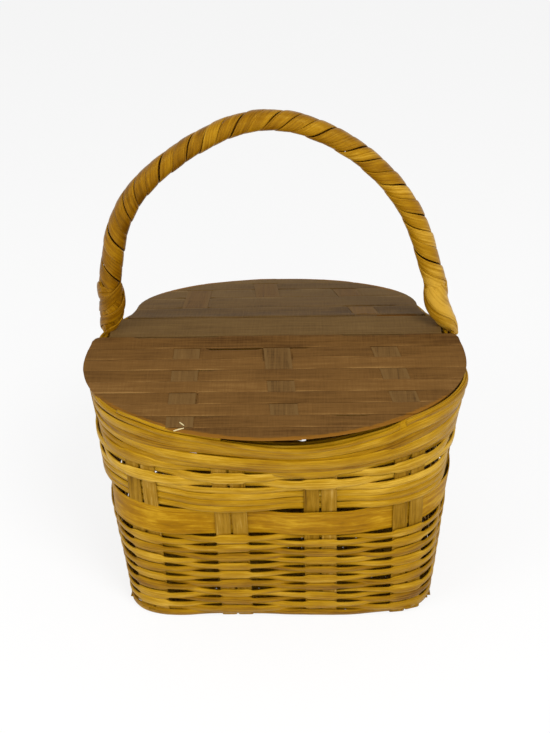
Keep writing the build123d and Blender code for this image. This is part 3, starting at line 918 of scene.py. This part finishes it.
def flap_half_width(out, sizes):
    """Half the width of a flap at a distance from its hinge line."""
    back_half, half_width, widest, start = sizes
    widest_out = (widest - HINGE_Y) / math.cos(FALL)
    back = np.clip((out - start) / (widest_out - start), 0, 1)
    straight = back_half + (half_width - back_half) * np.sin(back * np.pi / 2)
    straight -= CORNER * (1 - np.sqrt(np.clip(1 - (1 - np.clip((out - start) / CORNER, 0, 1)) ** 2, 0, 1)))
    bow_share = np.clip((out - widest_out) / (FLAP_REACH - widest_out), 0, 1)
    return np.where(out > widest_out, half_width * np.sqrt(1 - bow_share**2), straight)


def cross_middle(column, side, out):
    return CROSS_X[column] + CROSS_FAN[column] * side * (HINGE_Y + out * math.cos(FALL))


def lip(out):
    """The veneer rises over the cane rod at the hinge."""
    return LIP_RISE * (1 - smooth(out, 2.2, 7.0))


def lay_long_splints(bundle, dice, side, sizes, seams, shown, slits):
    """Splints from side to side. A slit is a stretch of one seam that stands open."""
    down = flap_point(side, 0.0, 0.0, -2 * VENEER_HALF) - flap_point(side, 0.0, 0.0, 0.0)
    for row, (low, high) in enumerate(zip(seams[:-1], seams[1:])):
        out = low + (high - low) * EDGE_LINES
        half = np.maximum(flap_half_width(out, sizes) - 0.2 * dice.random(), 0.3)
        marks = [np.linspace(-1, 1, 150)]
        for column in range(len(CROSS_X)):
            middle = cross_middle(column, side, (low + high) / 2)
            for edge in (-CROSS_HALF_WIDTH, CROSS_HALF_WIDTH):
                marks.append((middle + edge + np.linspace(-2.4, 2.4, 9)) / half[3])
        share = np.unique(np.clip(np.concatenate(marks), -1, 1))
        x = share[:, None] * half[None]
        place = np.broadcast_to(out[None], x.shape)
        wander = drift(dice, (x / 320 + 0.5), 1.0, (1, 2, 3, 5))
        for number, left, right, width in slits:
            opening = width * smooth(x, left - 5, left) * (1 - smooth(x, right, right + 5))
            if number == row:
                place = place + opening * (1 - EDGE_LINES)[None] ** 3
        ragged = SEAM * (1 + 0.8 * wander)
        place = place + np.where(EDGE_LINES < 0.5, 0.5, -0.5)[None] * np.clip(ragged, 0, 1) * (EDGE_LINES % 1 == 0)
        rise = np.full(x.shape, VENEER_HALF) + lip(place)
        for column in range(len(CROSS_X)):
            near = np.abs(x - cross_middle(column, side, place)) / CROSS_HALF_WIDTH
            under = 1 / (1 + np.exp((near - 1.0) * 24))
            rise = rise + under * (-2.2 * DIP if row in shown[column] else 0.5 * DIP)
        rise = rise - EDGE_DROP[None] + 0.05 * wander
        for column, hand, start, end in SIDE_SLITS[side]:
            past = hand * (x - cross_middle(column, side, place)) - CROSS_HALF_WIDTH
            open_here = smooth(place, start - 1.5, start + 1.5) * (1 - smooth(place, end - 1.5, end + 1.5))
            rise = rise - SIDE_SLIT_DEPTH * open_here * np.exp(-(((past - 0.5) / 0.6) ** 2))
        top = flap_point(side, x, place, rise)
        widest_out = (sizes[2] - HINGE_Y) / math.cos(FALL)
        bow_share = np.clip((place - widest_out) / (FLAP_REACH - widest_out), 0, 1)
        outline = np.sqrt((x / sizes[1]) ** 2 + bow_share**2)
        # Painted light along the flap's curved front edge, coloured as the edge looks lit.
        edge = smooth(outline + 0.008 * wander, 0.945, 0.995) * smooth(bow_share, 0.2, 0.7)
        grain = np.stack([x + 900 * dice.random(), place + 900 * dice.random()], -1)
        # Painted highlight: the far edge of each row is paler, in patches along the row, as a lit splint edge.
        highlight_patches = np.clip(0.35 + 0.6 * drift(dice, x / 320 + 0.5, 1.0, (2, 3, 5, 8)), 0, 1)
        tone = dice.random() * min(row, 1) + SEAM_HIGHLIGHT * highlight_patches * smooth(EDGE_LINES, 0.86, 0.96)[None]
        lay_panel(bundle, top, down, grain, tone, edge)


def lay_cross_splints(bundle, dice, side, sizes, seams, shown):
    """Three splints from the hinge to the rim, on top of the rows in which they show."""
    down = flap_point(side, 0.0, 0.0, -1.6 * VENEER_HALF) - flap_point(side, 0.0, 0.0, 0.0)
    for column in range(len(CROSS_X)):
        end = FLAP_REACH
        while flap_half_width(np.array(end), sizes) < abs(cross_middle(column, side, end)) + CROSS_HALF_WIDTH + 1:
            end -= 0.5
        out = np.linspace(seams[0] + 4.5, end, 160)
        rise = np.full_like(out, -VENEER_HALF - DIP)
        for row, (low, high) in enumerate(zip(seams[:-1], seams[1:])):
            inside = 1 / (1 + np.exp((np.abs(out - (low + high) / 2) - (high - low) / 2) * 3.0))
            if row in shown[column]:
                rise = rise + inside * (2 * VENEER_HALF + 1.1 * DIP)
        across = np.linspace(-1, 1, 7)
        narrow = CROSS_HALF_WIDTH - 0.5 + 0.3 * dice.random()
        x = cross_middle(column, side, out)[:, None] + narrow * across[None]
        place = np.broadcast_to(out[:, None], x.shape)
        top = flap_point(side, x, place, (rise + lip(out))[:, None] - 0.08 * np.abs(across[None]) ** 6)
        grain = np.stack([place + 900 * dice.random(), x + 900 * dice.random()], -1)
        faint = np.broadcast_to(smooth(np.abs(across), 0.45, 1.0)[None], x.shape)
        lay_panel(bundle, top, down, grain, dice.random(), faint)


def lay_flap(side, sizes, seams, shown, slits, finish, name, seed):
    dice = np.random.default_rng(seed)
    long_splints = new_bundle()
    lay_long_splints(long_splints, dice, side, sizes, seams, shown, slits)
    make_piece(name + "_splints", long_splints, finish, name, (name,))
    squares = new_bundle()
    lay_cross_splints(squares, dice, side, sizes, seams, shown)
    make_piece(name + "_cross_splints", squares, square_veneer, name)


FRONT_SIZES = (149.0, 154.0, 45.0, LIP_OUT)
REAR_SIZES = (127.0, 121.5, 47.0, LIP_OUT)
front_seams = [LIP_OUT, 12.0] + [12.0 + 12.8 * k for k in range(1, 8)] + [FLAP_REACH - 0.1]
rear_seams = [LIP_OUT, 27.0, 56.0, 80.0, 100.0, FLAP_REACH - 0.1]
# Slits open stretches of seams. In row 0 they open beside the bar, where the dark hinge rod below shows as painted
# shade.
FRONT_SLITS = ((0, -112, -48, 1.3), (0, 58, 104, 1.2), (1, -52, -13, 2.3), (1, 11, 26, 1.5))
FRONT_SLITS += ((3, -62, -50, 1.3), (7, -62, -44, 1.0), (7, 50, 72, 1.3))
REAR_SLITS = ((0, 88, 116, 1.5), (1, -84, -60, 2.4), (2, -88, -58, 2.6), (1, 60, 100, 1.7))
REAR_SLITS += ((3, -20, 14, 1.6), (3, 40, 66, 1.2))
lay_flap(-1, FRONT_SIZES, front_seams, FRONT_SHOWN, FRONT_SLITS, brown_veneer, "front_flap", 41)
lay_flap(1, REAR_SIZES, rear_seams, REAR_SHOWN, REAR_SLITS, dull_veneer, "rear_flap", 43)

# %% [markdown]
# ## A splinter
# Near its front edge the lid has a split of bare, pale fibre that forks. It is two short strips,
# a little above the veneer, and it rides with the flap.

# %% Forked splinter
SPLINTER = (((-74.8, 105.2), (-71.2, 103.6), (-67.1, 102.4)), ((-70.8, 96.2), (-69.4, 97.6), (-67.2, 99.8)))
dice = np.random.default_rng(53)
splinter = new_bundle()
for fork in SPLINTER:
    spots = np.array([flap_point(-1, x, out, 1.2) for x, out in fork])
    line = smooth_line(spots, 3)
    onward = unit(np.gradient(line, axis=0))
    facing = np.broadcast_to([0.0, -math.sin(FALL), math.cos(FALL)], line.shape)
    side = unit(np.cross(facing, onward))
    slim = 0.22 + 0.32 * np.sin(np.linspace(0.2, 2.9, len(line)))
    lay_strip(splinter, line, side, facing, slim, 0.4, dice.random(), REED, start=100 * dice.random())
make_piece("lid_splinter", splinter, bare_fibre, "front_flap")

# %% [markdown]
# ## The bar and the hinges
# A strip of veneer lies across the rim between the handle's feet. Thin cane rods lie along both of
# its edges, on the hinge lines.

# %% Bar and rods
BAR_HALF_LENGTH = 136.8
BAR_TOP = 228.0
BAR_HALF_DEPTH = 15.4
dice = np.random.default_rng(47)
bar = new_bundle()
x = np.linspace(-BAR_HALF_LENGTH, BAR_HALF_LENGTH, 160)
lines = 2 * EDGE_LINES - 1
edge_wander = drift(dice, x / 300, 0.5, (1, 2, 4, 7))
y = lines[None] * (BAR_HALF_DEPTH - 0.4 + 0.3 * edge_wander[:, None])
grid_x = np.broadcast_to(x[:, None], y.shape)
z = BAR_TOP - EDGE_DROP[None] + 0.15 * edge_wander[:, None]
top = np.stack([grid_x, y, np.broadcast_to(z, y.shape)], -1)
grain = np.stack([grid_x + 700, y + 300], -1)
lay_panel(bar, top, np.array([0.0, 0.0, -1.3]), grain, 0.5, np.zeros(y.shape))
base_x = np.linspace(-BAR_HALF_LENGTH + 1, BAR_HALF_LENGTH - 1, 60)
spine = np.stack([base_x, np.zeros(60), np.full(60, 225.6)], -1)
lay_strip(bar, spine, np.broadcast_to([0.0, 1.0, 0.0], spine.shape), np.broadcast_to([0.0, 0.0, 1.0], spine.shape), 13.2, 1.05, 0.3, SPLINT)
make_piece("centre_bar_veneer", bar, dull_veneer, stands_for=("centre_bar",))

# The hinge rods take the dark core as painted shade: they show through the open seams beside the bar as dark lines.
ROD_RADIUS = 0.95
for name, side in (("front_hinge_rod", -1), ("rear_hinge_rod", 1)):
    rod = new_bundle()
    rod_x = np.linspace(-124, 124, 80)
    spine = np.stack([rod_x, np.full(80, side * HINGE_Y), np.full(80, HINGE_Z)], -1)
    level = np.broadcast_to([0.0, 1.0, 0.0], spine.shape)
    upright = np.broadcast_to([0.0, 0.0, 1.0], spine.shape)
    lay_strip(rod, spine, level, upright, ROD_RADIUS, ROD_RADIUS, dice.random(), ROD)
    make_piece(name.replace("_hinge_rod", "_rod_cane"), rod, painted_shade_core, stands_for=(name,))

# %% [markdown]
# ## Floor, light and camera
# The basket stands on a plain pale floor under soft light, and the camera looks from where the
# photograph was taken: about a metre away, thirty degrees above the lid, a little to the right.

# %% Pale floor
FLOOR_SIZE = 8.0
floor_mesh = bpy.data.meshes.new("pale_floor")
corner = FLOOR_SIZE / 2
floor_mesh.from_pydata([(-corner, -corner, 0), (corner, -corner, 0), (corner, corner, 0), (-corner, corner, 0)], [], [(0, 1, 2, 3)])
pale_floor = bpy.data.objects.new("pale_floor", floor_mesh)
bpy.context.scene.collection.objects.link(pale_floor)
floor_finish, tree, shader = new_finish("pale_floor")
shader.inputs["Base Color"].default_value = (0.92, 0.92, 0.92, 1.0)
shader.inputs["Roughness"].default_value = 0.9
shader.inputs["Specular IOR Level"].default_value = 0.0
floor_mesh.materials.append(floor_finish)
FLOOR_WHITE = 0.8


def white_rays(tree):
    """1 for rays from the camera and for the mirror and glass rays that show the backdrop."""
    path = tree.nodes.new("ShaderNodeLightPath")
    return sum_of(
        tree, (path.outputs["Is Camera Ray"], 1.0), (path.outputs["Is Glossy Ray"], 1.0), (path.outputs["Is Transmission Ray"], 1.0)
    )


paper = tree.nodes.new("ShaderNodeEmission")
paper.inputs["Color"].default_value = (1.0, 1.0, 1.0, 1.0)
blend = tree.nodes.new("ShaderNodeMixShader")
tree.links.new(sum_of(tree, (white_rays(tree), FLOOR_WHITE)), blend.inputs["Fac"])
tree.links.new(shader.outputs["BSDF"], blend.inputs[1])
tree.links.new(paper.outputs["Emission"], blend.inputs[2])
tree.links.new(blend.outputs["Shader"], tree.nodes["Material Output"].inputs["Surface"])

# %% Soft light
world = bpy.data.worlds.new("studio")
bpy.context.scene.world = world
world.use_nodes = True
backdrop = world.node_tree.nodes["Background"]
backdrop.inputs["Color"].default_value = (1.0, 1.0, 1.0, 1.0)
SKY_LIGHT = 0.5
sky = sum_of(world.node_tree, (white_rays(world.node_tree), 1.0 - SKY_LIGHT))
lifted = world.node_tree.nodes.new("ShaderNodeMath")
lifted.operation = "ADD"
lifted.inputs[1].default_value = SKY_LIGHT
world.node_tree.links.new(sky, lifted.inputs[0])
world.node_tree.links.new(lifted.outputs[0], backdrop.inputs["Strength"])


def soft_lamp(name, place, target, size, power):
    data = bpy.data.lights.new(name, "AREA")
    data.shape = "DISK"
    data.size = size
    data.energy = power
    lamp = bpy.data.objects.new(name, data)
    lamp.location = place
    lamp.rotation_euler = (Vector(target) - Vector(place)).to_track_quat("-Z", "Y").to_euler()
    bpy.context.scene.collection.objects.link(lamp)


soft_lamp("key", (0.7, -1.1, 1.7), (0, 0, 0.15), 0.9, 22)
soft_lamp("fill", (-1.2, -0.8, 1.0), (0, 0, 0.2), 1.0, 8)
soft_lamp("front", (0.1, -1.6, 0.5), (0, 0, 0.12), 0.8, 6)

# %% Camera
BAR_CENTRE = np.array([0.0, 0.0, 0.228])
DISTANCE = 1.0
ELEVATION = math.radians(30.0)
AZIMUTH = math.radians(2.36)
ROLL = math.radians(1.9)
AIM_BELOW = math.radians(1.933)
away = np.array([math.cos(ELEVATION) * math.sin(AZIMUTH), -math.cos(ELEVATION) * math.cos(AZIMUTH), math.sin(ELEVATION)])
forward = -away
right = unit(np.cross(forward, [0.0, 0.0, 1.0]))
up = np.cross(right, forward)
rolled_right = right * math.cos(ROLL) - up * math.sin(ROLL)
rolled_up = right * math.sin(ROLL) + up * math.cos(ROLL)
aim = forward * math.cos(AIM_BELOW) - rolled_up * math.sin(AIM_BELOW)
rolled_up = np.cross(rolled_right, aim)
camera_data = bpy.data.cameras.new("camera")
camera_data.lens = 58.94
camera_data.sensor_width = 36.0
camera_data.clip_start = 0.01
camera = bpy.data.objects.new("camera", camera_data)
bpy.context.scene.collection.objects.link(camera)
turned = np.eye(4)
turned[:3, 0] = rolled_right
turned[:3, 1] = rolled_up
turned[:3, 2] = -aim
turned[:3, 3] = BAR_CENTRE + DISTANCE * away
camera.matrix_world = Matrix(turned.tolist())
bpy.context.scene.camera = camera
bpy.context.scene.view_settings.view_transform = "Standard"
print("camera at", turned[:3, 3].round(3))

# %% Pieces, and the end
print("pieces:", len(made))
